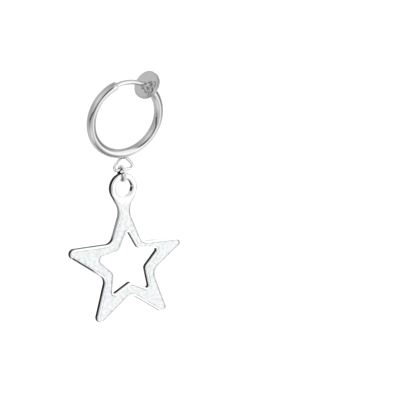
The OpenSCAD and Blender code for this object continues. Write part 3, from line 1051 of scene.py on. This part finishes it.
def panel(tone, x_deg, y_deg, long, wide, tilt, new_tone, soft=0.3):
    """Adds an oval panel whose middle is in this direction, and gives back the new tone.

    With m the middle, e the long way and w = m x e, the panel's edge is where
    (d . e / sin long)^2 + (d . w / sin wide)^2 is 1, for the seen direction d. Its tone is
    full where the root of that sum is under soft.
    """
    m = seen_at(x_deg, y_deg)
    step = seen_at(x_deg + np.cos(np.radians(tilt)), y_deg + np.sin(np.radians(tilt)))
    e = step - m * (step @ m)
    e /= np.linalg.norm(e)
    off_long = along(e / np.sin(np.radians(long)))
    off_wide = along(np.cross(m, e) / np.sin(np.radians(wide)))
    off = add(tent, "CombineXYZ", {0: off_long, 1: off_wide})
    out = add(tent, "VectorMath", {0: off}, "Value", operation="LENGTH")
    on_panel = span(tent, out, soft, 1.0, 1.0, 0.0)
    on_this_side = span(tent, along(m), 0.0, 0.15, 0.0, 1.0)
    share = math(tent, "MULTIPLY", on_panel, on_this_side)
    change = math(tent, "MULTIPLY", share, math(tent, "SUBTRACT", new_tone, tone))
    return math(tent, "ADD", tone, change)


# %% [markdown]
# The tent is a little lighter low on the right. Ten broad panels give the tube its bands:
# the tall bright one on the right also lights the star's face, and the grey one in front
# is the camera and whoever holds it. Smaller panels lie over them. The black ones, right of
# the camera and below it, draw the thin dark line along the tube, and the bright ones keep
# the bands beside that line light.

# %% The room round the earring
tone = span(tent, along(seen_at(91, -90)), -1.0, 1.0, 0.67, 0.81)
broad_panels = (
    # x, y, long, wide, tilt in degrees, tone, soft
    (-85, 5, 55, 45, -5, 0.52, 0.25),
    (-35, -30, 45, 20, 5, 0.40, 0.35),
    (5, -10, 35, 35, 0, 0.65, 0.45),
    (5, 55, 50, 10, 115, 0.45, 0.35),
    (55, 5, 65, 25, 100, 1.30, 0.60),
    (110, 5, 50, 40, 85, 0.45, 0.35),
    (15, -95, 35, 40, -25, 0.40, 0.35),
    (-5, -60, 30, 15, 5, 1.00, 0.30),
    (85, -90, 55, 20, -55, 1.15, 0.40),
    (-5, 95, 55, 35, 10, 0.50, 0.35),
)
small_panels = (
    # x, y, long, wide, tilt in degrees, tone, soft
    (95, 55, 35, 25, 95, 0.40, 0.30),
    (105, 5, 40, 10, 85, 0.20, 0.40),
    (5, -90, 30, 10, -20, 0.20, 0.40),
    (-30, 25, 30, 20, 135, 0.85, 0.40),
    (-15, 15, 30, 12, 50, 1.05, 0.40),
    (25, -5, 25, 12, 90, 0.00, 0.50),
    (10, 30, 25, 10, 110, 0.60, 0.40),
    (10, -25, 20, 10, 10, 0.00, 0.50),
    (-30, -25, 30, 10, 0, 0.10, 0.50),
    (60, -25, 25, 20, 90, 1.45, 0.60),
    (5, 155, 20, 15, 0, 1.10, 0.40),
)
for place_and_tone in broad_panels + small_panels:
    tone = panel(tone, *place_and_tone)
print("panels:", len(broad_panels), "broad and", len(small_panels), "small")

# %% What the camera and matt surfaces see of it
room = add(tent, "Background", {"Strength": tone})
white = add(tent, "Background", {"Color": (1, 1, 1, 1), "Strength": 1.0})
fill = add(tent, "Background", {"Color": (1, 1, 1, 1), "Strength": 1.3})
path = tent.nodes.new("ShaderNodeLightPath").outputs
seen = add(tent, "MixShader", {0: path["Is Diffuse Ray"], 1: room, 2: fill})
seen = add(tent, "MixShader", {0: path["Is Camera Ray"], 1: seen, 2: white})
tent.links.new(seen, tent.nodes["World Output"].inputs["Surface"])
print("nodes in the tent:", len(tent.nodes))

# %% [markdown]
# ## Floor and lights
# A white card close behind the earring would do for a background, but it would catch the
# shadow. So the earring hangs far above a plain pale floor, whose sizes are in metres, and
# its shadow is spread too thin to see. Two soft lamps light what is matt. Shiny surfaces
# see neither lamp nor floor, because the tent has their tones already.

# %% Floor
floor_half, floor_z = 15, -0.8
quarters = ((-1, -1), (1, -1), (1, 1), (-1, 1))
floor_corners = [(x * floor_half, y * floor_half, floor_z) for x, y in quarters]
floor_mesh = bpy.data.meshes.new("floor")
floor_mesh.from_pydata(floor_corners, [], [(0, 1, 2, 3)])
floor = bpy.data.objects.new("floor", floor_mesh)
scene.collection.objects.link(floor)
floor_finish = bpy.data.materials.new("pale_floor")
floor_finish.use_nodes = True
floor_shader = floor_finish.node_tree.nodes["Principled BSDF"]
floor_shader.inputs["Base Color"].default_value = (0.92, 0.92, 0.92, 1)
floor_shader.inputs["Roughness"].default_value = 0.9
floor_mesh.materials.append(floor_finish)
floor.visible_glossy = False
print("floor:", 2 * floor_half, "m wide, at", floor_z, "m")

# %% Lights
for name, place, size, power in (
    ("key", (0.5, -0.6, 0.6), 0.5, 6.0),
    ("overhead", (0.0, 0.0, 1.2), 2.5, 20.0),
):
    # the lamp stands at place and looks at the origin, where the pads meet
    light = bpy.data.lights.new(name, "AREA")
    light.size, light.energy = size, power
    lamp = bpy.data.objects.new(name, light)
    turned = Vector(place).to_track_quat("Z", "Y").to_matrix().to_4x4()
    lamp.matrix_world = Matrix.Translation(place) @ turned
    lamp.visible_glossy = False
    scene.collection.objects.link(lamp)
    print(f"{name}: {power:.0f} W, {size} m wide")
